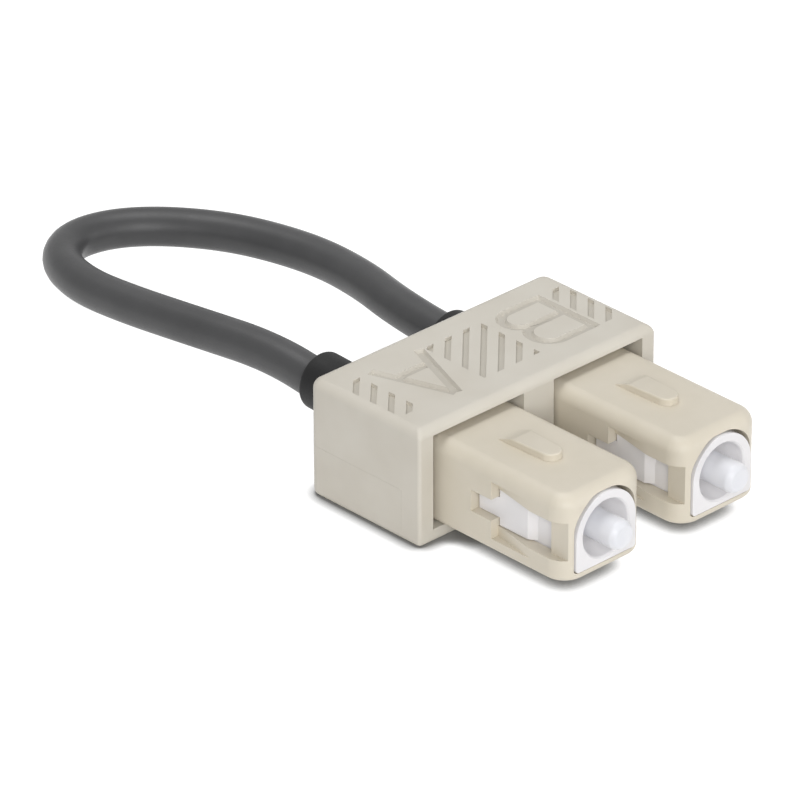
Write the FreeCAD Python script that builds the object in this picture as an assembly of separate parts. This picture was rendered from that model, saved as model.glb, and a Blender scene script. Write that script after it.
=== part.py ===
import FreeCAD
import Part
import math
import os

Vector = FreeCAD.Vector

# Duplex fibre loopback: two push-pull plugs in one housing, joined by a short cable.
# Millimetres. The plugs point to -Y, the cable leaves to +Y, and Z = 0 is the housing's flat base.
# The origin is the middle of that base. Plug A is at -X and plug B at +X.

# Standard plug interface
plug_pitch = 12.7
ferrule_diameter = 2.5
ferrule_length = 10.5
ferrule_lead = 1.95
ferrule_chamfer_length = 0.45
ferrule_chamfer_width = 0.3
sleeve_bore_radius = 2.4
sleeve_bore_depth = 5.6
sleeve_bore_chamfer = 0.15

# Plug frame round the sleeve bore
frame_wall = 0.8
frame_floor = 0.42
frame_corner = 0.3
frame_length = 17.0
frame_lead = 0.05
web_thickness = 0.8
web_clearance = 0.35
rear_bore_radius = 2.2
snap_ridge_height = 0.2
snap_ridge_length = 0.8
snap_ridge_inset = 1.5

# Catches on the frame's sides, for the port's hooks
catch_height = 0.45
catch_length = 3.75
catch_ramp = 0.7
catch_clearance = 0.1
stem_half_height = 0.88
release_travel = 1.8
stop_gap = 0.15

# Coupling grip round the frame
running_clearance = 0.08
grip_top_wall = 0.57
grip_bottom_wall = 0.65
grip_side_wall = 1.17
grip_top_round = 1.2
grip_bottom_round = 0.5
grip_front_corner = 1.9
cavity_corner = 0.3
cavity_arch = 2.7
channel_half_height = 1.65
channel_length = 2.2
bridge_wall = 0.4
slot_start = 3.5
slot_length = 2.25
ramp_length = 4.2
ramp_half_height = 2.5
key_width = 2.1
key_height = 0.62
key_round = 0.15
key_length = 5.6
key_start = 3.0
key_ramp = 1.6
key_sink = 0.3
key_nose_share = 0.9

# Housing round both grips
housing_depth = 12.4
floor_thickness = 1.2
roof_thickness = 0.75
side_wall = 1.65
back_wall = 1.2
bay_side_gap = 0.45
bay_top_gap = 0.65
bay_floor_gap = 0.25
front_frame_depth = 2.0
seam_height = 4.45
seam_gap = 0.03
housing_corner = 1.0
housing_top_round = 0.85
housing_base_round = 0.5
boot_hole_clearance = 0.25

# Ribs of the shells that hold the grips by a groove, and pegs that join the shells
rib_inset = 4.5
rib_thickness = 1.2
rib_width = 5.0
groove_depth = 0.25
rib_clearance = 0.05
peg_radius = 0.7
peg_height = 1.8
peg_spacing = 5.0
peg_clearance = 0.05

# Hatched finger fields on the roof
hatch_pitch = 1.4
hatch_width = 0.5
hatch_depth = 0.3
hatch_length = 6.8
hatch_shift = 0.15
hatch_middle_width = 6.1
hatch_end_width = 2.15
hatch_end_inset = 0.8

# Ferrule flange, spring and the turned pieces behind them
flange_clearance = 0.1
flange_length = 2.6
flange_chamfer = 0.4
flange_notch = 0.6
tail_radius = 0.95
tail_length = 3.0
fibre_diameter = 0.9
fibre_length = 12.0
fibre_gap = 0.8
spring_length = 3.6
spring_radius = 1.62
spring_wire = 0.36
spring_turns = 4.5
stop_clearance = 0.05
stop_bore_radius = 1.2
collar_radius = 2.6
collar_length = 1.2
neck_radius = 1.62
neck_length = 4.6
neck_bore_radius = 0.75
crimp_clearance = 0.04
crimp_wall = 0.35
crimp_length = 8.8
crimp_gap = 0.1

# Cable and boots
cable_diameter = 3.3
cable_start = 4.0
boot_radius = 2.55
boot_length = 12.35
boot_slack = 1.45
boot_clearance = 0.05
boot_rim_round = 0.4
boot_mouth_length = 3.0
boot_mouth_flare = 0.25
cable_bore_clearance = 0.1
bend_share = 0.45

# How far a cutting shape reaches past the face it cuts
overshoot = 1.0

# Points closer than this count as one
same_place = 1e-6

# Sizes that follow from those above
ferrule_radius = ferrule_diameter / 2
cable_radius = cable_diameter / 2
frame_half = sleeve_bore_radius + frame_wall
frame_below = sleeve_bore_radius + frame_floor
cavity_half = frame_half + running_clearance
cavity_below = frame_below + running_clearance
grip_half = cavity_half + grip_side_wall
grip_above = cavity_half + grip_top_wall
grip_below = cavity_below + grip_bottom_wall
channel_floor = cavity_half + bridge_wall
bay_half = grip_half + bay_side_gap
axis_height = floor_thickness + bay_floor_gap + grip_below
bay_top = axis_height + grip_above + bay_top_gap
housing_width = plug_pitch + 2 * (bay_half + side_wall)
housing_height = bay_top + roof_thickness
boot_hole_radius = boot_radius + boot_hole_clearance
crimp_bore = cable_radius + crimp_clearance
crimp_radius = crimp_bore + crimp_wall

# Stations along Y
front_y = -housing_depth / 2
back_y = housing_depth / 2
back_wall_y = back_y - back_wall
slot_rear_y = front_y - slot_start
notch_y = slot_rear_y - slot_length
catch_rear_y = notch_y - stop_gap
catch_front_y = catch_rear_y - catch_length
window_front_y = catch_front_y - release_travel - catch_clearance
grip_front_y = window_front_y - channel_length
grip_rear_y = back_wall_y - rib_clearance
frame_front_y = grip_front_y - frame_lead
frame_rear_y = frame_front_y + frame_length
web_y = frame_front_y + sleeve_bore_depth
flange_y = web_y + web_thickness
flange_rear_y = flange_y + flange_length
ferrule_tip_y = frame_front_y - ferrule_lead
ferrule_rear_y = ferrule_tip_y + ferrule_length
fibre_y = ferrule_rear_y + fibre_gap
tail_rear_y = flange_rear_y + tail_length
spring_rear_y = flange_rear_y + spring_length
collar_rear_y = frame_rear_y + collar_length
neck_rear_y = collar_rear_y + neck_length
crimp_y = collar_rear_y + crimp_gap
crimp_rear_y = crimp_y + crimp_length
rib_y = grip_rear_y - rib_inset

# Cable route from plug A to plug B, chosen by hand
cable_exit = 10.6
cable_route = [
    Vector(-plug_pitch / 2, cable_start, axis_height),
    Vector(-plug_pitch / 2, cable_exit, axis_height),
    Vector(-6.4, 17.4, 5.75),
    Vector(-7.6, 25.1, 5.5),
    Vector(-8.45, 32.3, 5.1),
    Vector(-8.75, 37.6, 4.95),
    Vector(-7.5, 42.0, 4.9),
    Vector(-4.5, 44.3, 4.88),
    Vector(-0.8, 43.9, 4.88),
    Vector(2.6, 41.5, 4.9),
    Vector(5.65, 37.3, 4.95),
    Vector(7.4, 32.9, 5.0),
    Vector(8.4, 27.5, 5.05),
    Vector(8.05, 22.1, 5.1),
    Vector(6.95, 17.2, 5.1),
    Vector(plug_pitch / 2, cable_exit, axis_height),
    Vector(plug_pitch / 2, cable_start, axis_height),
]


# Straight runs joined by tangent arcs through the given corner radii
def rounded_wire(points, radii, closed=True):
    count = len(points)
    starts = []
    ends = []
    middles = []
    for index, point in enumerate(points):
        at_end = not closed and index in (0, count - 1)
        if at_end or radii[index] == 0:
            starts.append(point)
            ends.append(point)
            middles.append(None)
            continue
        inward = (point - points[index - 1]).normalize()
        onward = (points[(index + 1) % count] - point).normalize()
        half_turn = inward.getAngle(onward) / 2
        reach = radii[index] * math.tan(half_turn)
        bulge = radii[index] / math.cos(half_turn) - radii[index]
        starts.append(point - inward * reach)
        ends.append(point + onward * reach)
        middles.append(point + (onward - inward).normalize() * bulge)
    edges = []
    for index in range(count):
        if middles[index] is not None:
            edges.append(Part.Arc(starts[index], middles[index], ends[index]).toShape())
        follower = (index + 1) % count
        last = not closed and index == count - 1
        if not last and (starts[follower] - ends[index]).Length > same_place:
            edges.append(Part.LineSegment(ends[index], starts[follower]).toShape())
    return Part.Wire(edges)


def prism(points, radii, direction):
    return Part.Face(rounded_wire(points, radii)).extrude(direction)


def box(x_range, y_range, z_range):
    corner = Vector(min(x_range), min(y_range), min(z_range))
    spans = [max(r) - min(r) for r in (x_range, y_range, z_range)]
    return Part.makeBox(*spans, corner)


def rod(radius, y_start, y_end, x):
    return Part.makeCylinder(radius, y_end - y_start, Vector(x, y_start, axis_height), Vector(0, 1, 0))


# A piece turned about a plug's axis, from (radius, y) corners
def turned(corners, x):
    points = [Vector(x + radius, y, axis_height) for radius, y in corners]
    face = Part.Face(rounded_wire(points, [0] * len(points)))
    return face.revolve(Vector(x, 0, axis_height), Vector(0, 1, 0), 360)


# A block with rounded corners in plan and rounded rims; a rear edge between square corners stays sharp
def soft_block(x_range, y_range, z_range, plan_radii, top_round, base_round):
    (x0, x1), (y0, y1), (z0, z1) = x_range, y_range, z_range
    plan = [Vector(x0, y0, z0), Vector(x1, y0, z0), Vector(x1, y1, z0), Vector(x0, y1, z0)]
    block = prism(plan, plan_radii, Vector(0, 0, z1 - z0))
    for level, radius in ((z1, top_round), (z0, base_round)):
        rim = []
        for edge in block.Edges:
            level_edge = all(abs(vertex.Z - level) < same_place for vertex in edge.Vertexes)
            rear_edge = all(abs(vertex.Y - y1) < same_place for vertex in edge.Vertexes)
            if level_edge and not (rear_edge and plan_radii[2] == 0):
                rim.append(edge)
        if radius > 0:
            block = block.makeFillet(radius, rim)
    return block


# Diagonal bars clipped to one field of the roof
def hatch_field(x_low, x_high):
    top = housing_height
    field = box((x_low, x_high), (hatch_shift - hatch_length / 2, hatch_shift + hatch_length / 2),
                (top - hatch_depth, top + hatch_depth))
    bars = []
    reach = housing_width + hatch_length
    step = hatch_pitch * math.sqrt(2)
    for index in range(int(-reach / step), int(reach / step) + 1):
        bar = Part.makeBox(hatch_width, reach, 2 * hatch_depth, Vector(-hatch_width / 2, -reach / 2, 0))
        bar.rotate(Vector(0, 0, 0), Vector(0, 0, 1), -45)
        bar.translate(Vector(index * step, 0, top - hatch_depth))
        clipped = bar.common(field)
        if clipped.Volume > hatch_width * hatch_width * hatch_depth:
            bars.append(clipped)
    return bars


# The housing in one piece, with bays for the grips, holes for the boots and ribs for the grooves
def housing():
    half_width = housing_width / 2
    top = housing_height
    block = soft_block((-half_width, half_width), (front_y, back_y), (0, top),
                       [housing_corner] * 4, housing_top_round, housing_base_round)
    for x in plug_axes:
        bay_x = (x - bay_half, x + bay_half)
        block = block.cut(box(bay_x, (front_y - overshoot, back_wall_y), (floor_thickness, bay_top)))
        block = block.cut(rod(boot_hole_radius, back_wall_y - overshoot, back_y + overshoot, x))
        rib_x = (x - rib_width / 2, x + rib_width / 2)
        rib_span = (rib_y - rib_thickness / 2, rib_y + rib_thickness / 2)
        ceiling_low = axis_height + grip_above - groove_depth + rib_clearance
        floor_high = axis_height - grip_below + groove_depth - rib_clearance
        block = block.fuse(box(rib_x, rib_span, (ceiling_low, bay_top + roof_thickness / 2)))
        block = block.fuse(box(rib_x, rib_span, (floor_thickness / 2, floor_high)))
    return block.removeSplitter()


def pegs(radius, height):
    spots = [-peg_spacing / 2, peg_spacing / 2]
    return [Part.makeCylinder(radius, height, Vector(0, y + front_frame_depth / 2, seam_height - seam_gap))
            for y in spots]


def lower_region(gap):
    return box((-housing_width, housing_width), (front_y + front_frame_depth + gap, back_y + overshoot),
               (-overshoot, seam_height - gap))


def upper_shell():
    shell = housing().cut(lower_region(0))
    for x in plug_axes:
        slot_x = (x - boot_hole_radius, x + boot_hole_radius)
        slot_y = (back_wall_y - overshoot, back_y + overshoot)
        shell = shell.cut(box(slot_x, slot_y, (seam_height - overshoot, axis_height)))
    shell = shell.cut(pegs(peg_radius + peg_clearance, peg_height + seam_gap + peg_clearance))
    outer_end = housing_width / 2 - hatch_end_inset
    fields = hatch_field(-hatch_middle_width / 2, hatch_middle_width / 2)
    fields += hatch_field(-outer_end, hatch_end_width - outer_end)
    fields += hatch_field(outer_end - hatch_end_width, outer_end)
    return shell.cut(fields)


def lower_shell():
    shell = housing().common(lower_region(seam_gap))
    return shell.fuse(pegs(peg_radius, peg_height)).removeSplitter()


# Grip: a rounded tube with hook channels, windows, cam ramps, holding grooves and the key ridge
def grip(x):
    low = axis_height - grip_below
    high = axis_height + grip_above
    body = soft_block((x - grip_half, x + grip_half), (grip_front_y, grip_rear_y), (low, high),
                      [grip_front_corner, grip_front_corner, 0, 0], grip_top_round, grip_bottom_round)
    body = body.fuse(key_ridge(x, high))
    cavity_y = grip_front_y - overshoot
    cavity = [
        Vector(x - cavity_half, cavity_y, axis_height - cavity_below),
        Vector(x + cavity_half, cavity_y, axis_height - cavity_below),
        Vector(x + cavity_half, cavity_y, axis_height + cavity_half),
        Vector(x - cavity_half, cavity_y, axis_height + cavity_half)]
    cavity_radii = [cavity_corner, cavity_corner, cavity_arch, cavity_arch]
    body = body.cut(prism(cavity, cavity_radii, Vector(0, grip_rear_y + overshoot - cavity_y, 0)))
    for side in (-1, 1):
        body = body.cut(side_cuts(x, side))
    groove_y = (rib_y - rib_thickness / 2 - rib_clearance, rib_y + rib_thickness / 2 + rib_clearance)
    groove_x = (x - rib_width / 2 - rib_clearance, x + rib_width / 2 + rib_clearance)
    body = body.cut(box(groove_x, groove_y, (high - groove_depth, high + overshoot)))
    return body.cut(box(groove_x, groove_y, (low - overshoot, low + groove_depth)))


# Rounded at its front end, sloping down at its rear end
def key_ridge(x, base):
    rear = front_y - key_start
    front = rear - key_length
    half = key_width / 2
    low = base - key_sink
    high = base + key_height
    nose = key_nose_share * half
    ridge = soft_block((x - half, x + half), (front, rear), (low, high), [nose, nose, 0, 0], key_round, 0)
    crest = rear - key_ramp
    slope = [Vector(x - half, rear, base), Vector(x - half, rear + overshoot, base),
             Vector(x - half, rear + overshoot, high + overshoot), Vector(x - half, crest, high + overshoot),
             Vector(x - half, crest, high)]
    return ridge.cut(prism(slope, [0] * 5, Vector(key_width, 0, 0)))


# Channel, window, slot and cam ramps in one side wall
def side_cuts(x, side):
    outside = x + side * (grip_half + overshoot)
    inside = x + side * sleeve_bore_radius
    floor = x + side * channel_floor
    channel_z = (axis_height - channel_half_height, axis_height + channel_half_height)
    slot_half = stem_half_height + catch_clearance / 2
    slot_z = (axis_height - slot_half, axis_height + slot_half)
    channel = box((floor, outside), (grip_front_y - overshoot, notch_y), channel_z)
    window = box((inside, outside), (window_front_y, notch_y), channel_z)
    slot = box((inside, outside), (notch_y - overshoot, slot_rear_y), slot_z)
    ramp_low = axis_height - ramp_half_height
    rim = x + side * grip_half
    ramp = [Vector(floor, notch_y, ramp_low), Vector(rim, notch_y - ramp_length, ramp_low),
            Vector(outside, notch_y - ramp_length, ramp_low), Vector(outside, notch_y, ramp_low)]
    return [channel, window, slot, prism(ramp, [0] * 4, Vector(0, 0, 2 * ramp_half_height))]


# Plug frame: arched section, sleeve bore in front, seat for the flange and spring behind the web
def plug_frame(x):
    low = axis_height - frame_below
    high = axis_height + frame_half
    arch = [Vector(x - frame_half, frame_front_y, low), Vector(x + frame_half, frame_front_y, low),
            Vector(x + frame_half, frame_front_y, high), Vector(x - frame_half, frame_front_y, high)]
    body = prism(arch, [frame_corner, frame_corner, frame_half, frame_half], Vector(0, frame_length, 0))
    for side in (-1, 1):
        body = body.fuse(catch(x, side))
    mouth_y = frame_front_y - overshoot
    sleeve_bore = [(0, mouth_y), (sleeve_bore_radius + sleeve_bore_chamfer + overshoot, mouth_y),
                   (sleeve_bore_radius, frame_front_y + sleeve_bore_chamfer), (sleeve_bore_radius, web_y),
                   (0, web_y)]
    ridge_y = frame_rear_y - snap_ridge_inset
    groove = (ridge_y - snap_ridge_length - stop_clearance, ridge_y + stop_clearance)
    body = body.cut(turned(sleeve_bore, x))
    body = body.cut(rod(ferrule_radius + web_clearance, web_y - overshoot, flange_y + overshoot, x))
    body = body.cut(rod(rear_bore_radius, flange_y, frame_rear_y + overshoot, x))
    return body.cut(rod(rear_bore_radius + snap_ridge_height, groove[0], groove[1], x)).removeSplitter()


# Block with a sloped front that the port's hook rides over, and the stem that keeps it in its slot
def catch(x, side):
    root = x + side * (frame_half - frame_wall / 2)
    face = x + side * frame_half
    crown = x + side * (frame_half + catch_height)
    half = channel_half_height - catch_clearance
    low = axis_height - half
    outline = [Vector(root, catch_rear_y, low), Vector(crown, catch_rear_y, low),
               Vector(crown, catch_front_y + catch_ramp, low), Vector(face, catch_front_y, low),
               Vector(root, catch_front_y, low)]
    block = prism(outline, [0] * 5, Vector(0, 0, 2 * half))
    stem_z = (axis_height - stem_half_height, axis_height + stem_half_height)
    return block.fuse(box((root, crown), (catch_rear_y, slot_rear_y - stop_gap), stem_z))


def ferrule(x):
    tip_radius = ferrule_radius - ferrule_chamfer_width
    return turned([(0, ferrule_tip_y), (tip_radius, ferrule_tip_y),
                   (ferrule_radius, ferrule_tip_y + ferrule_chamfer_length),
                   (ferrule_radius, ferrule_rear_y), (0, ferrule_rear_y)], x)


# Flange pressed on the ferrule, with a tail for the fibre and notches that set its turn
def ferrule_flange(x):
    radius = rear_bore_radius - flange_clearance
    fibre_radius = fibre_diameter / 2
    body = turned([(ferrule_radius, flange_y), (radius - flange_chamfer, flange_y),
                   (radius, flange_y + flange_chamfer), (radius, flange_rear_y), (tail_radius, flange_rear_y),
                   (tail_radius, tail_rear_y), (fibre_radius, tail_rear_y), (fibre_radius, ferrule_rear_y),
                   (ferrule_radius, ferrule_rear_y)], x)
    notch = box((x + radius - flange_chamfer, x + radius + overshoot),
                (flange_y - overshoot, flange_rear_y - flange_chamfer),
                (axis_height - flange_notch / 2, axis_height + flange_notch / 2))
    for turn in range(4):
        cutter = notch.copy()
        cutter.rotate(Vector(x, 0, axis_height), Vector(0, 1, 0), 90 * turn)
        body = body.cut(cutter)
    return body


def buffered_fibre(x):
    return rod(fibre_diameter / 2, fibre_y, fibre_y + fibre_length, x)


# Spring: tilted half rings, each meeting the next along a common tangent
def ferrule_spring(x):
    half_turns = round(2 * spring_turns)
    rise = (spring_length - spring_wire) / half_turns
    halves = []
    for index in range(half_turns):
        side = 1 - 2 * (index % 2)
        start = Vector(x + side * spring_radius, flange_rear_y + spring_wire / 2 + index * rise, axis_height)
        middle = Vector(x, start.y + rise / 2, axis_height)
        ring = Part.Face(Part.Wire(Part.makeCircle(spring_wire / 2, start)))
        halves.append(ring.revolve(middle, Vector(side * rise, 2 * spring_radius, 0), 180))
    return halves[0].fuse(halves[1:])


# Stop body: its front sleeve snaps into the frame, and its neck carries the crimped cable
def rear_body(x):
    sleeve = rear_bore_radius - stop_clearance
    ridge = sleeve + snap_ridge_height
    ridge_y = frame_rear_y - snap_ridge_inset
    return turned([(stop_bore_radius, spring_rear_y), (sleeve, spring_rear_y),
                   (sleeve, ridge_y - snap_ridge_length), (ridge, ridge_y), (sleeve, ridge_y),
                   (sleeve, frame_rear_y), (collar_radius, frame_rear_y), (collar_radius, collar_rear_y),
                   (neck_radius, collar_rear_y), (neck_radius, neck_rear_y), (neck_bore_radius, neck_rear_y),
                   (neck_bore_radius, collar_rear_y), (stop_bore_radius, frame_rear_y)], x)


def crimp_sleeve(x):
    return turned([(crimp_bore, crimp_y), (crimp_radius, crimp_y), (crimp_radius, crimp_rear_y),
                   (crimp_bore, crimp_rear_y)], x)


# Boot: a soft sleeve over the crimp, with a flared mouth for the cable. Boot A is pushed on less far
def boot(x):
    grip_bore = crimp_radius + boot_clearance
    cable_bore = cable_radius + cable_bore_clearance
    mouth = cable_bore + boot_mouth_flare
    front = crimp_y + (boot_slack if x < 0 else 0)
    rear = front + boot_length
    step = front + crimp_length + crimp_gap
    corners = [(grip_bore, front), (boot_radius, front), (boot_radius, rear), (mouth, rear),
               (cable_bore, rear - boot_mouth_length), (cable_bore, step), (grip_bore, step)]
    points = [Vector(x + radius, y, axis_height) for radius, y in corners]
    wire = rounded_wire(points, [0, boot_rim_round / 2, boot_rim_round, 0, 0, 0, 0])
    return Part.Face(wire).revolve(Vector(x, 0, axis_height), Vector(0, 1, 0), 360)


# Round cable along its route, with each bend as large as its two runs allow
def cable_loop():
    radii = [0] * len(cable_route)
    for index in range(1, len(cable_route) - 1):
        before = cable_route[index] - cable_route[index - 1]
        after = cable_route[index + 1] - cable_route[index]
        shorter = min(before.Length, after.Length)
        radii[index] = bend_share * shorter / math.tan(before.getAngle(after) / 2)
    path = rounded_wire(cable_route, radii, closed=False)
    ring = Part.makeCircle(cable_radius, cable_route[0], Vector(0, 1, 0))
    tube = path.makePipeShell([Part.Wire(ring)], True, False)
    print("cable radii", [round(radius, 1) for radius in radii[1:-1]])
    print("cable volume", round(tube.Volume, 2), "section times length",
          round(math.pi * cable_radius ** 2 * path.Length, 2), "length", round(path.Length, 2))
    return tube


plug_axes = [-plug_pitch / 2, plug_pitch / 2]
plug_pieces = {
    "grip": grip,
    "plug_frame": plug_frame,
    "ferrule": ferrule,
    "ferrule_flange": ferrule_flange,
    "ferrule_spring": ferrule_spring,
    "buffered_fibre": buffered_fibre,
    "rear_body": rear_body,
    "crimp_sleeve": crimp_sleeve,
    "boot": boot,
}

nodes = {
    "upper_shell": upper_shell(),
    "lower_shell": lower_shell(),
    "cable_loop": cable_loop(),
}
for letter, axis_x in zip("ab", plug_axes):
    for piece, make in plug_pieces.items():
        nodes[piece + "_" + letter] = make(axis_x)

os.makedirs("parts", exist_ok=True)
for name, shape in nodes.items():
    print(name, "valid", shape.isValid(), "solids", len(shape.Solids), "volume", round(shape.Volume, 2))
    shape.exportStep("parts/" + name + ".step")
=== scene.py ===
import math

import bmesh
import bpy
from mathutils import Matrix, Quaternion, Vector


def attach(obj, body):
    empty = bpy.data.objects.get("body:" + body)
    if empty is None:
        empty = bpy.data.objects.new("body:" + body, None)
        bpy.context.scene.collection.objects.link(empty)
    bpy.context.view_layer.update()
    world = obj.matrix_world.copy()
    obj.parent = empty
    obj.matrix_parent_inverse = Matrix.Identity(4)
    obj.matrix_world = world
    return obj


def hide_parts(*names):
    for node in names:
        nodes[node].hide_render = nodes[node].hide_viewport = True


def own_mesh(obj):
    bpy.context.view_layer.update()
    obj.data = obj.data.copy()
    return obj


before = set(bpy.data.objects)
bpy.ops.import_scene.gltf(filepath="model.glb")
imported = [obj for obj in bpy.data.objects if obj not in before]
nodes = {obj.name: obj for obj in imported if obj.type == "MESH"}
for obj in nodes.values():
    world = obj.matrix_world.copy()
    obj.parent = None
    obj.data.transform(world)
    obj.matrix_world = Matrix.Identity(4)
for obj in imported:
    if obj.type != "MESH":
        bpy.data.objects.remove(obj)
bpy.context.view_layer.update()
mm = 0.001  # pieces are shaped in millimetres and scaled to metres at the end
sides = {"a": -6.35, "b": 6.35}  # plug axes across the housing
axisHeight = 5.0  # plug axes above the base
print("frame loaded:", len(nodes), "nodes")


def addObject(name, data):
    added = bpy.data.objects.new(name, data)
    bpy.context.scene.collection.objects.link(added)
    return added


def aimAt(placed, place, target, roll=0.0):
    aim = (target - place).to_track_quat("-Z", "Y")
    turn = aim @ Quaternion((0.0, 0.0, 1.0), math.radians(roll))
    placed.matrix_world = Matrix.LocRotScale(place, turn, Vector((1.0, 1.0, 1.0)))


# camera at the photograph's angle: places in mm, roll in degrees

view = {
    "place": (-350.635, -359.841, 281.321),
    "target": (-6.882, 2.275, 7.560),
    "lens": 328.016,
    "sensor": 36.0,
    "roll": -0.221,
    "clip": (0.01, 20.0),  # metres
}


def setCamera():
    data = bpy.data.cameras.new("photoCamera")
    data.sensor_width = view["sensor"]
    data.lens = view["lens"]
    data.clip_start, data.clip_end = view["clip"]
    camera = addObject("photoCamera", data)
    aimAt(camera, Vector(view["place"]) * mm, Vector(view["target"]) * mm, view["roll"])
    bpy.context.scene.camera = camera


setCamera()
print("camera set")


# shader helpers: each value is a number, a colour or the output of another node

def tint(red, green, blue):
    shares = [value / 255.0 for value in (red, green, blue)]
    linear = [s / 12.92 if s <= 0.04045 else ((s + 0.055) / 1.055) ** 2.4 for s in shares]
    return (linear[0], linear[1], linear[2], 1.0)


def grey(level):
    return (level, level, level, 1.0)


def addNode(tree, kind, **settings):
    node = tree.nodes.new(kind)
    for name, value in settings.items():
        setattr(node, name, value)
    return node


def feed(tree, value, socket):
    if isinstance(value, (int, float, tuple)):
        socket.default_value = value
    else:
        tree.links.new(value, socket)


def objectCoords(tree):
    return addNode(tree, "ShaderNodeTexCoord").outputs["Object"]


def noise(tree, coords, scale, detail=2.0, rough=0.5):
    node = addNode(tree, "ShaderNodeTexNoise")
    for label, value in (("Vector", coords), ("Scale", scale), ("Detail", detail),
                         ("Roughness", rough)):
        feed(tree, value, node.inputs[label])
    return node.outputs["Fac"]


def span(tree, value, low, high, toLow=0.0, toHigh=1.0):
    node = addNode(tree, "ShaderNodeMapRange")
    for label, amount in (("Value", value), ("From Min", low), ("From Max", high),
                          ("To Min", toLow), ("To Max", toHigh)):
        feed(tree, amount, node.inputs[label])
    return node.outputs["Result"]


def blendColor(tree, share, first, second):
    node = addNode(tree, "ShaderNodeMix", data_type="RGBA")
    for index, value in ((0, share), (6, first), (7, second)):  # factor, then the colours A and B
        feed(tree, value, node.inputs[index])
    return node.outputs[2]


def combine(tree, operation, first, second):
    node = addNode(tree, "ShaderNodeMath", operation=operation)
    for socket, value in zip(node.inputs, (first, second)):
        feed(tree, value, socket)
    return node.outputs[0]


def addBump(tree, shader, height, strength, relief):
    bump = addNode(tree, "ShaderNodeBump")
    for label, value in (("Height", height), ("Strength", strength), ("Distance", relief)):
        feed(tree, value, bump.inputs[label])
    tree.links.new(bump.outputs["Normal"], shader.inputs["Normal"])


def newGroup(name, inputs, outputs):
    tree = bpy.data.node_groups.new(name, "ShaderNodeTree")
    for label, kind, start in inputs:
        socket = tree.interface.new_socket(label, in_out="INPUT", socket_type=kind)
        socket.default_value = start
    for label, kind in outputs:
        tree.interface.new_socket(label, in_out="OUTPUT", socket_type=kind)
    return tree, tree.nodes.new("NodeGroupInput"), tree.nodes.new("NodeGroupOutput")


def newMaterial(name):
    material = bpy.data.materials.new(name)
    material.use_nodes = True
    tree = material.node_tree
    return material, tree, tree.nodes["Principled BSDF"]


# moulded skin: cloudy tone, fine spark texture, slight ripple

skin = {
    "cloudRange": (0.32, 0.68),
    "speckRange": (0.62, 0.8),
    "speckShare": 0.35,
    "glossRange": (0.35, 0.65),
    "grainGloss": 0.6,
    "cloudGloss": 0.4,
    "grainHeight": 0.5,
    "rippleScale": 900.0,
}


def mouldedSkin():
    tree, entry, leave = newGroup(
        "mouldedSkin",
        [("Tone", "NodeSocketColor", grey(0.6)), ("Shade", "NodeSocketColor", grey(0.5)),
         ("Grain Scale", "NodeSocketFloat", 9000.0), ("Cloud Scale", "NodeSocketFloat", 160.0),
         ("Dull", "NodeSocketFloat", 0.5), ("Sheen", "NodeSocketFloat", 0.35)],
        [("Color", "NodeSocketColor"), ("Roughness", "NodeSocketFloat"),
         ("Height", "NodeSocketFloat")])
    coords = objectCoords(tree)
    grain = noise(tree, coords, entry.outputs["Grain Scale"], detail=3.0, rough=0.6)
    cloud = noise(tree, coords, entry.outputs["Cloud Scale"], detail=3.0, rough=0.55)
    ripple = noise(tree, coords, skin["rippleScale"], detail=1.0, rough=0.4)
    patch = span(tree, cloud, *skin["cloudRange"])
    speck = span(tree, grain, *skin["speckRange"], toHigh=skin["speckShare"])
    color = blendColor(tree, combine(tree, "MAXIMUM", patch, speck),
                       entry.outputs["Tone"], entry.outputs["Shade"])
    gloss = combine(tree, "ADD", combine(tree, "MULTIPLY", grain, skin["grainGloss"]),
                    combine(tree, "MULTIPLY", cloud, skin["cloudGloss"]))
    rough = span(tree, gloss, *skin["glossRange"], entry.outputs["Sheen"], entry.outputs["Dull"])
    height = combine(tree, "ADD", combine(tree, "MULTIPLY", grain, skin["grainHeight"]), ripple)
    for label, value in (("Color", color), ("Roughness", rough), ("Height", height)):
        tree.links.new(value, leave.inputs[label])
    return tree


skinGroup = mouldedSkin()

wearSheenAndShade = {
    # the paler edge tone paints sheen on the rounded edges, together with rubbed wear
    "edgeSheenShare": 0.25,
    "edgeGloss": 0.08,
    # the sunk share and tone paint shade into the sunk marks
    "sunkShadeShare": 0.3,
    "sunkShadeTone": (0.3, 0.28, 0.24, 1.0),
    "bump": 0.35,
}
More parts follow.
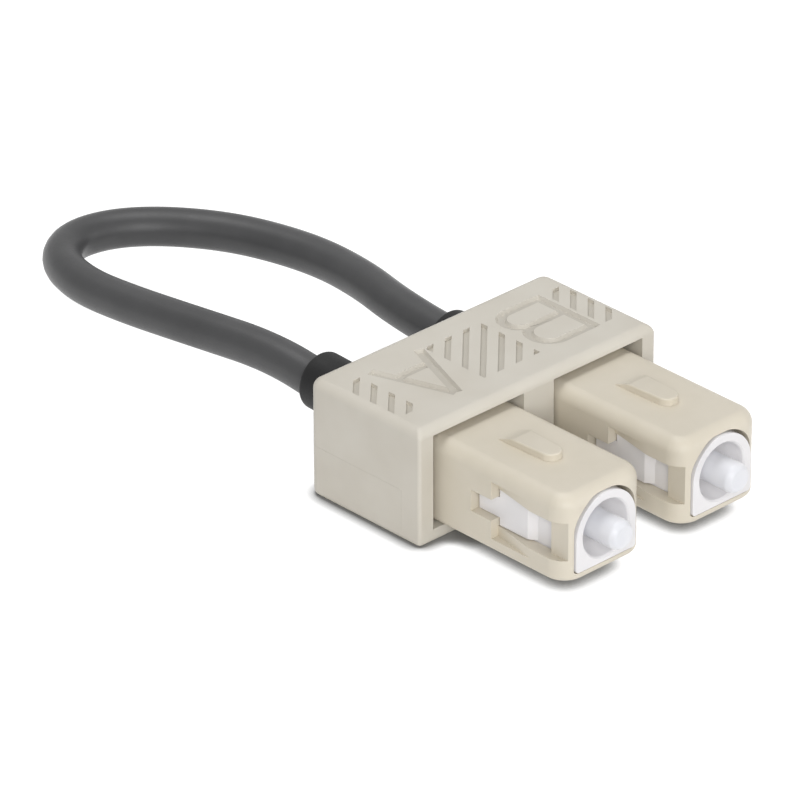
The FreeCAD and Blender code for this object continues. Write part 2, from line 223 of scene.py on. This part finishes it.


# edges paler from rubbed wear plus painted sheen, painted shade darkening the sunk marks, and a
# painted glow on the bore walls in place of light inside them
def mouldedPlastic(name, tone, shade, edgeSheenTone, dull, sheen, grainScale, cloudScale, relief,
                   specular=0.5, glow=0.0):
    material, tree, shader = newMaterial(name)
    surface = addNode(tree, "ShaderNodeGroup", node_tree=skinGroup)
    for label, value in (("Tone", tone), ("Shade", shade), ("Dull", dull), ("Sheen", sheen),
                         ("Grain Scale", grainScale), ("Cloud Scale", cloudScale)):
        surface.inputs[label].default_value = value
    # paler edges: painted sheen with rubbed wear; the lower roughness there is real polish
    edge = addNode(tree, "ShaderNodeAttribute", attribute_name="rubbedEdgeAndSheen").outputs["Fac"]
    color = blendColor(tree, combine(tree, "MULTIPLY", edge, wearSheenAndShade["edgeSheenShare"]),
                       surface.outputs["Color"], edgeSheenTone)
    # painted shade: the floors and walls of the sunk marks are blended towards a darker tone
    sunk = addNode(tree, "ShaderNodeAttribute", attribute_name="sunkPaintedShade").outputs["Fac"]
    color = blendColor(tree, combine(tree, "MULTIPLY", sunk, wearSheenAndShade["sunkShadeShare"]),
                       color, wearSheenAndShade["sunkShadeTone"])
    tree.links.new(color, shader.inputs["Base Color"])
    rough = combine(tree, "SUBTRACT", surface.outputs["Roughness"],
                    combine(tree, "MULTIPLY", edge, wearSheenAndShade["edgeGloss"]))
    tree.links.new(rough, shader.inputs["Roughness"])
    addBump(tree, shader, surface.outputs["Height"], wearSheenAndShade["bump"], relief)
    shader.inputs["Specular IOR Level"].default_value = specular
    # painted glow: the bore walls emit in place of the light that reaches inside them
    if glow > 0.0:
        lit = addNode(tree, "ShaderNodeAttribute", attribute_name="paintedBoreGlow")
        tree.links.new(lit.outputs["Color"], shader.inputs["Emission Color"])
        shader.inputs["Emission Strength"].default_value = glow
    return material


housingPlastic = mouldedPlastic(
    "housingPlastic", tone=tint(211, 206, 195), shade=tint(204, 198, 186),
    edgeSheenTone=tint(222, 218, 208), dull=0.58, sheen=0.44,
    grainScale=8000.0, cloudScale=140.0, relief=0.000012)
gripPlastic = mouldedPlastic(
    "gripPlastic", tone=tint(217, 209, 193), shade=tint(211, 203, 186),
    edgeSheenTone=tint(230, 224, 209), dull=0.52, sheen=0.38,
    grainScale=9500.0, cloudScale=170.0, relief=0.000008)
framePlastic = mouldedPlastic(
    "framePlastic", tone=tint(234, 232, 233), shade=tint(230, 228, 229),
    edgeSheenTone=tint(236, 234, 235), dull=0.42, sheen=0.3,
    grainScale=11000.0, cloudScale=260.0, relief=0.000006, glow=0.085)
bootRubber = mouldedPlastic(
    "bootRubber", tone=tint(14, 14, 14), shade=tint(10, 10, 11),
    edgeSheenTone=tint(30, 30, 31), dull=0.62, sheen=0.5,
    grainScale=7000.0, cloudScale=300.0, relief=0.000016, specular=0.28)
fibreCoating = mouldedPlastic(
    "fibreCoating", tone=tint(236, 236, 228), shade=tint(228, 228, 218),
    edgeSheenTone=tint(240, 240, 232), dull=0.45, sheen=0.32,
    grainScale=12000.0, cloudScale=500.0, relief=0.000004)


# polished ceramic: faint clouds and lapping marks

ceramic = {
    "tone": (231, 231, 234),
    "shade": (224, 225, 230),
    "cloudScale": 400.0,
    "cloudRange": (0.35, 0.65),
    "lapScale": 16000.0,
    "lapRange": (0.3, 0.7),
    "rough": (0.34, 0.46),
    "bump": 0.1,
    "relief": 0.000004,
    "ior": 1.6,
}


def polishedCeramic(name):
    material, tree, shader = newMaterial(name)
    coords = objectCoords(tree)
    cloud = noise(tree, coords, ceramic["cloudScale"], detail=3.0)
    lap = noise(tree, coords, ceramic["lapScale"])
    color = blendColor(tree, span(tree, cloud, *ceramic["cloudRange"]),
                       tint(*ceramic["tone"]), tint(*ceramic["shade"]))
    tree.links.new(color, shader.inputs["Base Color"])
    rough = span(tree, lap, *ceramic["lapRange"], *ceramic["rough"])
    tree.links.new(rough, shader.inputs["Roughness"])
    addBump(tree, shader, lap, ceramic["bump"], ceramic["relief"])
    shader.inputs["IOR"].default_value = ceramic["ior"]
    return material


# turned or drawn metal with fine rings round the plug's axis

metal = {
    "aroundScale": 60.0,
    "ringRange": (0.3, 0.7),
    "stainScale": 700.0,
    "stainRange": (0.35, 0.65),
    "bump": 0.3,
    "relief": 0.000008,
}


def workedMetal(name, tone, shade, smooth, rough, ringScale):
    material, tree, shader = newMaterial(name)
    coords = objectCoords(tree)
    stretch = addNode(tree, "ShaderNodeMapping")
    stretch.inputs["Scale"].default_value = (metal["aroundScale"], ringScale, metal["aroundScale"])
    tree.links.new(coords, stretch.inputs["Vector"])
    rings = noise(tree, stretch.outputs["Vector"], scale=1.0, detail=3.0, rough=0.6)
    stain = noise(tree, coords, metal["stainScale"], detail=3.0)
    color = blendColor(tree, span(tree, stain, *metal["stainRange"]), tone, shade)
    tree.links.new(color, shader.inputs["Base Color"])
    tree.links.new(span(tree, rings, *metal["ringRange"], smooth, rough),
                   shader.inputs["Roughness"])
    addBump(tree, shader, rings, metal["bump"], metal["relief"])
    shader.inputs["Metallic"].default_value = 1.0
    return material


ferruleCeramic = polishedCeramic("ferruleCeramic")
turnedMetal = workedMetal("turnedMetal", tint(206, 202, 192), tint(188, 184, 174),
                          smooth=0.22, rough=0.4, ringScale=9000.0)
crimpMetal = workedMetal("crimpMetal", tint(212, 212, 213), tint(196, 196, 198),
                         smooth=0.3, rough=0.48, ringScale=4000.0)
springSteel = workedMetal("springSteel", tint(190, 190, 193), tint(172, 172, 176),
                          smooth=0.25, rough=0.42, ringScale=6000.0)


# extruded jacket: matte, finely grained skin

jacket = {
    "tone": (62, 62, 63),
    "shade": (53, 53, 54),
    "grainScale": 6500.0,
    "cloudScale": 220.0,
    "cloudRange": (0.32, 0.68),
    "glossRange": (0.7, 1.3),
    "rough": (0.38, 0.5),
    "bump": 0.4,
    "relief": 0.000014,
    "specular": 0.45,
}


def extrudedJacket(name):
    material, tree, shader = newMaterial(name)
    coords = objectCoords(tree)
    grain = noise(tree, coords, jacket["grainScale"], detail=3.0, rough=0.6)
    cloud = noise(tree, coords, jacket["cloudScale"], detail=3.0, rough=0.55)
    color = blendColor(tree, span(tree, cloud, *jacket["cloudRange"]),
                       tint(*jacket["tone"]), tint(*jacket["shade"]))
    tree.links.new(color, shader.inputs["Base Color"])
    rough = span(tree, combine(tree, "ADD", grain, cloud), *jacket["glossRange"], *jacket["rough"])
    tree.links.new(rough, shader.inputs["Roughness"])
    addBump(tree, shader, grain, jacket["bump"], jacket["relief"])
    shader.inputs["Specular IOR Level"].default_value = jacket["specular"]
    return material


cableJacket = extrudedJacket("cableJacket")
print("materials made")


# mesh helpers

meshing = {
    "weld": 0.002,
    "flat": 0.3,  # degrees
    "sharp": 32.0,  # degrees
    "roundSegments": 3,
    "sliver": 0.0005,
    "evenWeight": 60,
    "near": 0.003,  # how close a vertex is to a plane that it belongs to
    "slack": 0.001,
}


def weld(bm):
    bmesh.ops.remove_doubles(bm, verts=bm.verts, dist=meshing["weld"])


def mergedCopy(nodeName):
    bm = bmesh.new()
    bm.from_mesh(nodes[nodeName].data)
    bmesh.ops.scale(bm, vec=(1.0 / mm, 1.0 / mm, 1.0 / mm), verts=bm.verts)
    weld(bm)
    bmesh.ops.dissolve_limit(bm, angle_limit=math.radians(meshing["flat"]),
                             verts=bm.verts, edges=bm.edges)
    return bm


# clamp_overlap holds the rounding back where a mesh has very short edges, so the base and the
# ferrules get it in full and the other pieces stay nearly as crisp as their solids
def softenEdges(bm, edgeRound, kept=None):
    rubbed = bm.faces.layers.float.new("rubbedEdgeAndSheen")
    limit = math.radians(meshing["sharp"])
    sharp = [edge for edge in bm.edges
             if len(edge.link_faces) == 2 and edge.calc_face_angle() > limit]
    if kept is not None:
        for edge in sharp:
            edge.smooth = not kept(edge)
        sharp = [edge for edge in sharp if edge.smooth]
    made = bmesh.ops.bevel(bm, geom=sharp, offset=edgeRound, offset_type="OFFSET",
                           segments=meshing["roundSegments"], profile=0.5, affect="EDGES",
                           material=-1, clamp_overlap=True)
    # the rounded faces are marked for the paler edge tone: painted sheen with rubbed wear
    for face in made["faces"]:
        face[rubbed] = 1.0


# slivers and pinholes left by cutting and rounding
def cleanMesh(bm):
    bmesh.ops.dissolve_degenerate(bm, dist=meshing["sliver"], edges=bm.edges)
    openEdges = [edge for edge in bm.edges if edge.is_boundary]
    bmesh.ops.holes_fill(bm, edges=openEdges, sides=0)


def finishMesh(bm, pieceName, material, body, replaced):
    cleanMesh(bm)
    bmesh.ops.scale(bm, vec=(mm, mm, mm), verts=bm.verts)
    mesh = bpy.data.meshes.new(pieceName)
    bm.to_mesh(mesh)
    bm.free()
    for face in mesh.polygons:
        face.use_smooth = True
    mesh.materials.append(material)
    piece = addObject(pieceName, mesh)
    even = piece.modifiers.new("evenNormals", "WEIGHTED_NORMAL")
    even.weight = meshing["evenWeight"]
    even.keep_sharp = True
    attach(piece, body)
    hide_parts(*replaced)
    return piece


# cable: the route's points are the curve's control points

cable = {
    "radius": 1.65,
    "length": 0.0886,  # metres
    "around": 10,
    "along": 24,
    "route": [
        (-6.35, 4.0, 5.0), (-6.35, 10.6, 5.0), (-6.4, 17.4, 5.75), (-7.6, 25.1, 5.5),
        (-8.45, 32.3, 5.1), (-8.75, 37.6, 4.95), (-7.5, 42.0, 4.9), (-4.5, 44.3, 4.88),
        (-0.8, 43.9, 4.88), (2.6, 41.5, 4.9), (5.65, 37.3, 4.95), (7.4, 32.9, 5.0),
        (8.4, 27.5, 5.05), (8.05, 22.1, 5.1), (6.95, 17.2, 5.1), (6.35, 10.6, 5.0),
        (6.35, 4.0, 5.0)],
}


def makeCable():
    curve = bpy.data.curves.new("cableLoop", "CURVE")
    curve.dimensions = "3D"
    curve.bevel_depth = cable["radius"] * mm
    curve.bevel_resolution = cable["around"]
    curve.use_fill_caps = True
    curve.resolution_u = cable["along"]
    curve.render_resolution_u = cable["along"]
    spline = curve.splines.new("NURBS")
    spline.points.add(len(cable["route"]) - 1)
    for point, place in zip(spline.points, cable["route"]):
        point.co = (place[0] * mm, place[1] * mm, place[2] * mm, 1.0)
    spline.order_u = 3
    spline.use_endpoint_u = True
    spline.use_smooth = True
    curve.materials.append(cableJacket)
    piece = addObject("cableLoop", curve)
    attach(piece, "cores")
    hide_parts("cable_loop")


makeCable()
print("cable laid")


# housing: the two shells, with the plug letters sunk in the roof

housing = {
    "edgeRound": 0.1,
    "roof": 10.25,
    "half": 12.9,
    "front": -6.2,
    "corner": 1.0,
    "frontCorner": 0.3,
    "backFrom": 5.15,
    "backShift": 0.15,
    "bayWalls": (1.45, 11.25),
    "bayShift": 0.18,
    "seam": {"height": 4.45, "front": -4.2, "reach": 0.05, "gap": 0.03, "shown": 0.01},
    # where and how strongly painted shade goes into the sunk marks
    "sunkField": {"x": 12.15, "y": 3.9, "shallow": 0.06, "deep": 0.4},
    "sunkWall": {"upward": 0.3, "mark": 0.6},
    "sunkFloor": {"upward": 0.9, "mark": 1.0},
}
letters = {
    "stroke": 0.56,
    "flare": 0.18,
    "sink": 0.28,
    "bowlSteps": 20,
    "bars": [
        ((-3.6, 3.5), (-6.1, -3.25)), ((-8.75, 3.5), (-6.35, -3.25)), ((-7.85, 1.5), (-4.75, 1.5)),
        ((9.2, 3.45), (9.2, -3.1)), ((9.2, 3.25), (5.7, 3.25)), ((9.2, 0.35), (5.7, 0.35)),
        ((9.2, -2.9), (5.9, -2.9))],
    "bowls": [((5.7, 1.8), 1.45), ((5.9, -1.275), 1.625)],
}


# crisper front corners, a deeper back and bays further apart than the solid's
def trueOutline(bm):
    middleX = housing["half"] - housing["corner"]
    middleY = housing["front"] + housing["corner"]
    small = housing["frontCorner"]
    for vert in bm.verts:
        over = abs(vert.co.x) - middleX
        ahead = middleY - vert.co.y
        if min(over, ahead) > -meshing["slack"]:
            turn = math.atan2(max(ahead, 0.0), max(over, 0.0))
            straight = math.hypot(over, ahead) - small
            vert.co.x = math.copysign(middleX + straight + small * math.cos(turn), vert.co.x)
            vert.co.y = middleY - straight - small * math.sin(turn)
        if vert.co.y > housing["backFrom"]:
            vert.co.y += housing["backShift"]
        if any(abs(abs(vert.co.x) - wall) < meshing["near"] for wall in housing["bayWalls"]):
            vert.co.x += math.copysign(housing["bayShift"], vert.co.x)


# each cutter is twice as tall as the mark is deep, so the roof meets it at half its spread
def letterCutters():
    tall = 2 * letters["sink"]
    spread = 4 * letters["flare"]
    middleZ = housing["roof"] - letters["sink"] + tall / 2
    cutters = []
    for start, end in letters["bars"]:
        run = Vector(end) - Vector(start)
        place = Matrix.Translation(((start[0] + end[0]) / 2, (start[1] + end[1]) / 2, middleZ))
        turn = Matrix.Rotation(math.atan2(run.y, run.x), 4, "Z")
        bm = bmesh.new()
        bmesh.ops.create_cube(bm, size=1.0)
        for vert in bm.verts:
            wider = spread if vert.co.z > 0.0 else 0.0
            vert.co.x *= run.length + wider
            vert.co.y *= letters["stroke"] + wider
            vert.co.z *= tall
        bmesh.ops.transform(bm, matrix=place @ turn, verts=bm.verts)
        cutters.append(bm)
    for middle, radius in letters["bowls"]:
        bm = bmesh.new()
        bmesh.ops.create_grid(bm, x_segments=1, y_segments=1, size=0.5)
        for vert in bm.verts:
            vert.co.y *= letters["stroke"] + (spread if vert.co.x < 0.0 else 0.0)
            vert.co.x *= tall
        place = Matrix.Translation((middle[0], middle[1] + radius, middleZ))
        stand = Matrix.Rotation(math.pi / 2, 4, "Y")
        bmesh.ops.transform(bm, matrix=place @ stand, verts=bm.verts)
        bmesh.ops.spin(bm, geom=bm.faces[:] + bm.edges[:] + bm.verts[:],
                       cent=(middle[0], middle[1], housing["roof"] - letters["sink"]),
                       axis=(0.0, 0.0, 1.0), angle=math.pi, steps=letters["bowlSteps"],
                       use_merge=False)
        bmesh.ops.recalc_face_normals(bm, faces=bm.faces)
        cutters.append(bm)
    return cutters


def cutAway(bm, cutters):
    blockMesh = bpy.data.meshes.new("workBlock")
    bm.to_mesh(blockMesh)
    block = addObject("workBlock", blockMesh)
    tools = []
    for cutter in cutters:
        mesh = bpy.data.meshes.new("workCutter")
        cutter.to_mesh(mesh)
        cutter.free()
        tool = addObject("workCutter", mesh)
        cut = block.modifiers.new("cut", "BOOLEAN")
        cut.operation = "DIFFERENCE"
        cut.solver = "EXACT"
        cut.object = tool
        tools.append(tool)
    bpy.context.view_layer.update()
    shown = block.evaluated_get(bpy.context.evaluated_depsgraph_get())
    result = bpy.data.meshes.new_from_object(shown)
    bm.clear()
    bm.from_mesh(result)
    for leftover in [block] + tools:
        bpy.data.objects.remove(leftover)
    weld(bm)


# the shells' joint stays a crisp hairline
def onSeam(edge):
    seam = housing["seam"]
    ends = [vert.co for vert in edge.verts]
    level = all(abs(end.z - seam["height"]) < seam["reach"] for end in ends)
    upright = all(abs(end.y - seam["front"]) < seam["reach"] for end in ends)
    return level or upright


# the base comes up to the joint, so that only a hairline shows
def closeSeam(bm):
    seam = housing["seam"]
    step = seam["gap"] - seam["shown"]
    for vert in bm.verts:
        if abs(vert.co.z - seam["height"] + seam["gap"]) < meshing["near"]:
            vert.co.z += step
        if abs(vert.co.y - seam["front"] - seam["gap"]) < meshing["near"]:
            vert.co.y -= step


# painted shade on the floors and sloping walls of the marks sunk in the roof
def paintSunkShade(bm):
    sunk = bm.faces.layers.float.new("sunkPaintedShade")
    field, wall, floor = (housing[label] for label in ("sunkField", "sunkWall", "sunkFloor"))
    bm.normal_update()
    for face in bm.faces:
        middle = face.calc_center_median()
        depth = housing["roof"] - middle.z
        inside = abs(middle.x) < field["x"] and abs(middle.y) < field["y"]
        upward = face.normal.z
        if inside and field["shallow"] < depth < field["deep"] and upward > wall["upward"]:
            face[sunk] = floor["mark"] if upward > floor["upward"] else wall["mark"]


def makeHousing():
    bm = mergedCopy("upper_shell")
    trueOutline(bm)
    cutAway(bm, letterCutters())
    softenEdges(bm, housing["edgeRound"], onSeam)
    paintSunkShade(bm)
    finishMesh(bm, "housingTop", housingPlastic, "yoke", ["upper_shell"])
    bm = mergedCopy("lower_shell")
    trueOutline(bm)
    closeSeam(bm)
    softenEdges(bm, housing["edgeRound"], onSeam)
    finishMesh(bm, "housingBase", housingPlastic, "yoke", ["lower_shell"])


makeHousing()
print("housing shaped")


# grips: slimmer key ridge, and a front rim that stays crisp close round the plug frame

grip = {
    "edgeRound": 0.1,
    "rim": {"front": -19.3, "reach": 3.4},
    "key": {"low": 8.84, "reach": 1.2, "front": -17.2, "back": -11.2, "slim": 0.87},
}


def slimKey(bm, axisX):
    key = grip["key"]
    for vert in bm.verts:
        across = vert.co.x - axisX
        along = key["front"] < vert.co.y < key["back"]
        if vert.co.z > key["low"] and abs(across) < key["reach"] and along:
            vert.co.x = axisX + across * key["slim"]


def onRim(axisX):
    rim = grip["rim"]

    def found(edge):
        return all(end.co.y < rim["front"] and abs(end.co.x - axisX) < rim["reach"]
                   and abs(end.co.z - axisHeight) < rim["reach"] for end in edge.verts)
    return found


def makeGrip(letter, axisX):
    node = "grip_" + letter
    bm = mergedCopy(node)
    slimKey(bm, axisX)
    softenEdges(bm, grip["edgeRound"], onRim(axisX))
    finishMesh(bm, "grip" + letter.upper(), gripPlastic, "yoke", [node])


# plug frames: the sleeve bore's walls get a painted glow that stands in for the light inside it

plugFrame = {
    "edgeRound": 0.03,
    "bore": {"radius": 2.5, "front": -19.9, "back": -14.3},
}


def paintBoreGlow(bm, axisX):
    lit = bm.faces.layers.float_color.new("paintedBoreGlow")
    bore = plugFrame["bore"]
    for face in bm.faces:
        middle = face.calc_center_median()
        reach = math.hypot(middle.x - axisX, middle.z - axisHeight)
        inside = reach < bore["radius"] and bore["front"] < middle.y < bore["back"]
        face[lit] = grey(1.0) if inside else grey(0.0)


def makePlugFrame(letter, axisX):
    node = "plug_frame_" + letter
    bm = mergedCopy(node)
    softenEdges(bm, plugFrame["edgeRound"])
    paintBoreGlow(bm, axisX)
    finishMesh(bm, "plugFrame" + letter.upper(), framePlastic, "cores", [node])


ferrule = {"edgeRound": 0.14}


def makeFerrule(letter):
    node = "ferrule_" + letter
    bm = mergedCopy(node)
    softenEdges(bm, ferrule["edgeRound"])
    finishMesh(bm, "ferrule" + letter.upper(), ferruleCeramic, "ferrule_set_" + letter,
               [node])


# boots: a little slimmer than the solids, and boot A leans up towards its cable

boot = {
    "edgeRound": 0.08,
    "slim": 0.95,
    "end": 12.1,
    "rise": {"a": 0.4, "b": 0.0},
}


def leanBoot(bm, letter, axisX):
    for vert in bm.verts:
        vert.co.x = axisX + (vert.co.x - axisX) * boot["slim"]
        vert.co.z = axisHeight + (vert.co.z - axisHeight) * boot["slim"]
        vert.co.z += boot["rise"][letter] * max(vert.co.y, 0.0) / boot["end"]


def makeBoot(letter, axisX):
    node = "boot_" + letter
    bm = mergedCopy(node)
    leanBoot(bm, letter, axisX)
    softenEdges(bm, boot["edgeRound"])
    finishMesh(bm, "boot" + letter.upper(), bootRubber, "cores", [node])


for letter, axisX in sides.items():
    makeGrip(letter, axisX)
    makePlugFrame(letter, axisX)
    makeFerrule(letter)
    makeBoot(letter, axisX)
print("plugs shaped")


# springs: the real ones shorten from their fixed rear ends as the ferrules go back; here each
# spring gets a mesh of its own


def makeSpring(letter):
    node = "ferrule_spring_" + letter
    piece = finishMesh(mergedCopy(node), "spring" + letter.upper(), springSteel, "cores",
                       [node])
    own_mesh(piece)


for letter, axisX in sides.items():
    makeSpring(letter)
print("springs shaped")


# the other pieces inside keep their solids

innerFinish = {
    "ferrule_flange_": turnedMetal,
    "buffered_fibre_": fibreCoating,
    "rear_body_": turnedMetal,
    "crimp_sleeve_": crimpMetal,
}
for stem, material in innerFinish.items():
    for letter in sides:
        nodes[stem + letter].data.materials[0] = material
print("inner pieces finished")


# stage: pale floor, soft lamps above and round the front, white surroundings; all in metres

studio = {
    "floorHalf": 3.0,
    "floorDrop": 0.00003,
    "floorTone": 0.8,
    "floorRough": 0.9,
    # the floor as seen is darker than the light it returns, so the painted contact shadow reads
    # deep
    "seenShadowTone": 0.3,
    "floorLift": 0.95,
    # painted contact shadow: occlusion within each reach fades the floor's white lift
    "paintedContactShadows": [
        {"reach": 0.0015, "dark": 0.47, "clear": 0.95},
        {"reach": 0.003, "dark": 0.285, "clear": 0.46}],
    "contactSamples": 24,
    "worldStrength": 0.2,
    "lampTarget": (0.0, 0.005, 0.005),
    "lampSize": 0.5,
    "lamps": {
        "cameraSide": {"place": (-0.6, -0.63, 0.45), "power": 4.5},
        "frontFill": {"place": (-0.3, -0.85, 0.25), "power": 1.4},
        "overhead": {"place": (0.05, 0.2, 0.88), "power": 3.8},
        "rightFill": {"place": (0.45, -0.8, 0.3), "power": 1.6},
    },
}


def seenRay(tree):
    path = addNode(tree, "ShaderNodeLightPath").outputs
    direct = combine(tree, "MAXIMUM", path["Is Camera Ray"], path["Is Glossy Ray"])
    return combine(tree, "MAXIMUM", direct, path["Is Transmission Ray"])


# white where it is open; a painted contact shadow, drawn from occlusion, darkens it only where the
# object stands close above it
def makeFloor():
    bm = bmesh.new()
    bmesh.ops.create_grid(bm, x_segments=1, y_segments=1, size=studio["floorHalf"])
    mesh = bpy.data.meshes.new("studioFloor")
    bm.to_mesh(mesh)
    bm.free()
    mesh.transform(Matrix.Translation((0.0, 0.0, -studio["floorDrop"])))
    material, tree, shader = newMaterial("studioFloor")
    # as seen, the floor's own tone is darker, so the painted contact shadow reads deep
    seen = addNode(tree, "ShaderNodeLightPath").outputs["Is Camera Ray"]
    color = blendColor(tree, seen, grey(studio["floorTone"]), grey(studio["seenShadowTone"]))
    tree.links.new(color, shader.inputs["Base Color"])
    shader.inputs["Roughness"].default_value = studio["floorRough"]
    shader.inputs["Specular IOR Level"].default_value = 0.0
    shader.inputs["Emission Color"].default_value = grey(1.0)
    lift = combine(tree, "MULTIPLY", seenRay(tree), studio["floorLift"])
    # painted contact shadow: the white lift fades out where occlusion finds the object close above
    for contact in studio["paintedContactShadows"]:
        near = addNode(tree, "ShaderNodeAmbientOcclusion", samples=studio["contactSamples"])
        near.inputs["Distance"].default_value = contact["reach"]
        share = span(tree, near.outputs["AO"], contact["dark"], contact["clear"])
        lift = combine(tree, "MULTIPLY", lift, share)
    tree.links.new(lift, shader.inputs["Emission Strength"])
    mesh.materials.append(material)
    addObject("studioFloor", mesh)


def makeLamp(name, spec):
    data = bpy.data.lights.new(name, "AREA")
    data.shape = "SQUARE"
    data.size = studio["lampSize"]
    data.energy = spec["power"]
    aimAt(addObject(name, data), Vector(spec["place"]), Vector(studio["lampTarget"]))


def makeWorld():
    world = bpy.data.worlds.new("whiteRoom")
    world.use_nodes = True
    tree = world.node_tree
    sky = tree.nodes["Background"]
    sky.inputs["Color"].default_value = grey(1.0)
    strength = combine(tree, "MAXIMUM", seenRay(tree), studio["worldStrength"])
    tree.links.new(strength, sky.inputs["Strength"])
    bpy.context.scene.world = world


makeFloor()
for lampName, spec in studio["lamps"].items():
    makeLamp(lampName, spec)
makeWorld()
bpy.context.scene.view_settings.view_transform = "Standard"
print("stage lit")
